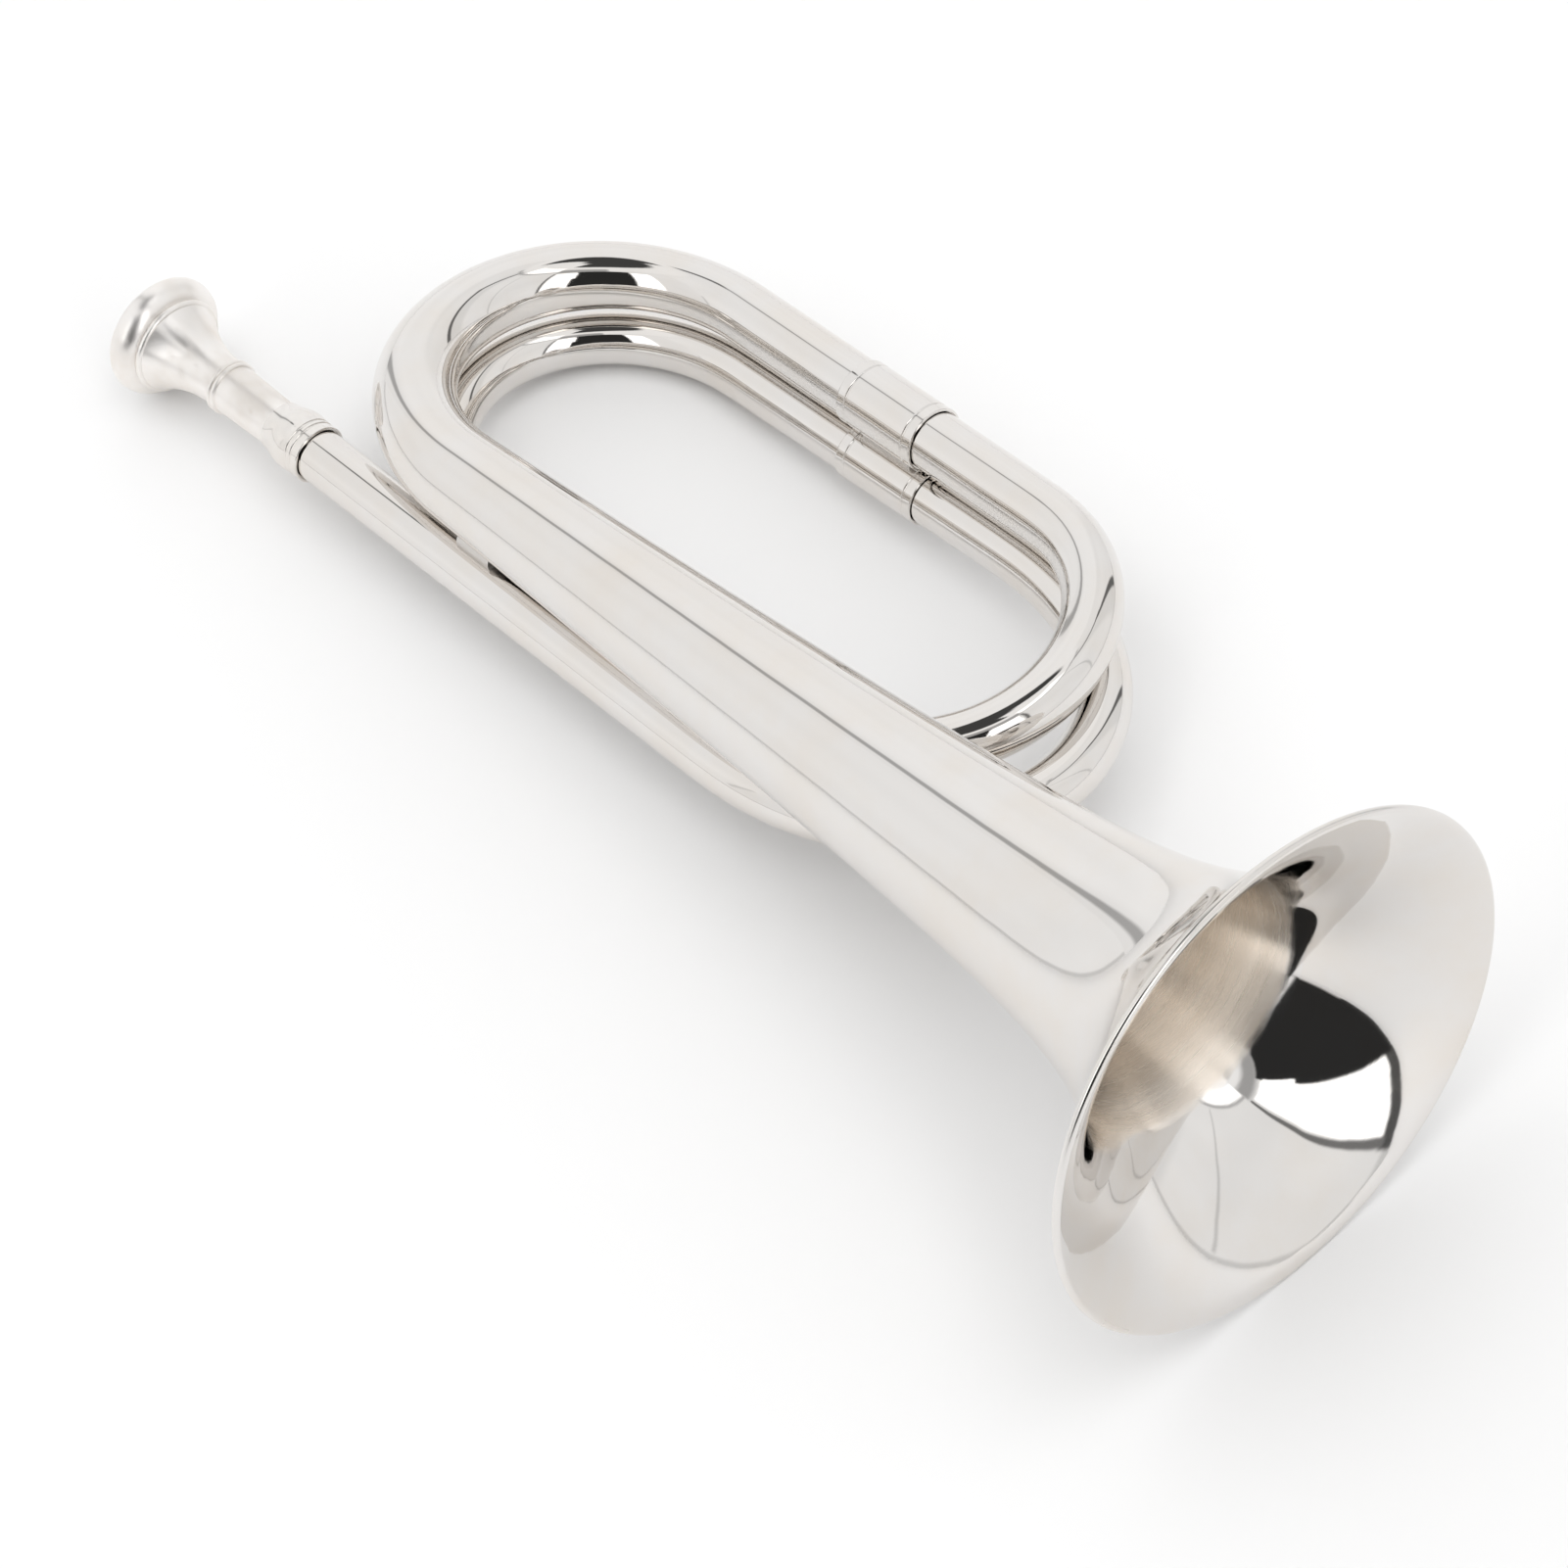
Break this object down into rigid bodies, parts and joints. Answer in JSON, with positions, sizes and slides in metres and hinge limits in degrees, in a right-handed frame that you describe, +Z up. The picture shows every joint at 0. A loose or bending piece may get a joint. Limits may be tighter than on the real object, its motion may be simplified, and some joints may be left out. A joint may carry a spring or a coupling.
{
  "type": "cavalry bugle",
  "caption": "Valveless brass horn wound twice into a flat oblong coil, with a flared bell, soldered ferrules, a leadpipe and a removable cup mouthpiece.",
  "frame": {"origin": "centre of the horn's bounding box in X and Y, on the plane that it lies on", "axes": "+X towards the bell's mouth, -X towards the mouthpiece, +Y towards the far legs of the coil, +Z up from the plane that it rests on"},
  "size_m": [0.3302, 0.1367, 0.1095],
  "materials": {
    "plate": "nickel-plated, mirror polished",
    "mouthpiece_plate": "nickel-plated, fine-turned and slightly satin",
    "solder": "soft solder, dull"
  },
  "bodies": {
    "horn": {"bell": "plate", "rim_wire": "plate", "upper_sleeve": "plate", "upper_right_bow": "plate", "hidden_sleeve": "plate", "lower_left_bow": "plate", "lower_sleeve": "plate", "leadpipe": "plate", "receiver": "plate", "sleeve_solder": "solder", "near_leg_solder": "solder", "hidden_sleeve_solder": "solder", "leadpipe_solder_front": "solder", "leadpipe_solder_rear": "solder"},
    "mouthpiece_body": {"mouthpiece": "mouthpiece_plate"}
  },
  "joints": [
    {"name": "mouthpiece_slide", "type": "slide", "parent": "horn", "child": "mouthpiece_body", "axis": [-0.9992, -0.0126, -0.0373], "range_m": [0, 0.03]}
  ]
}
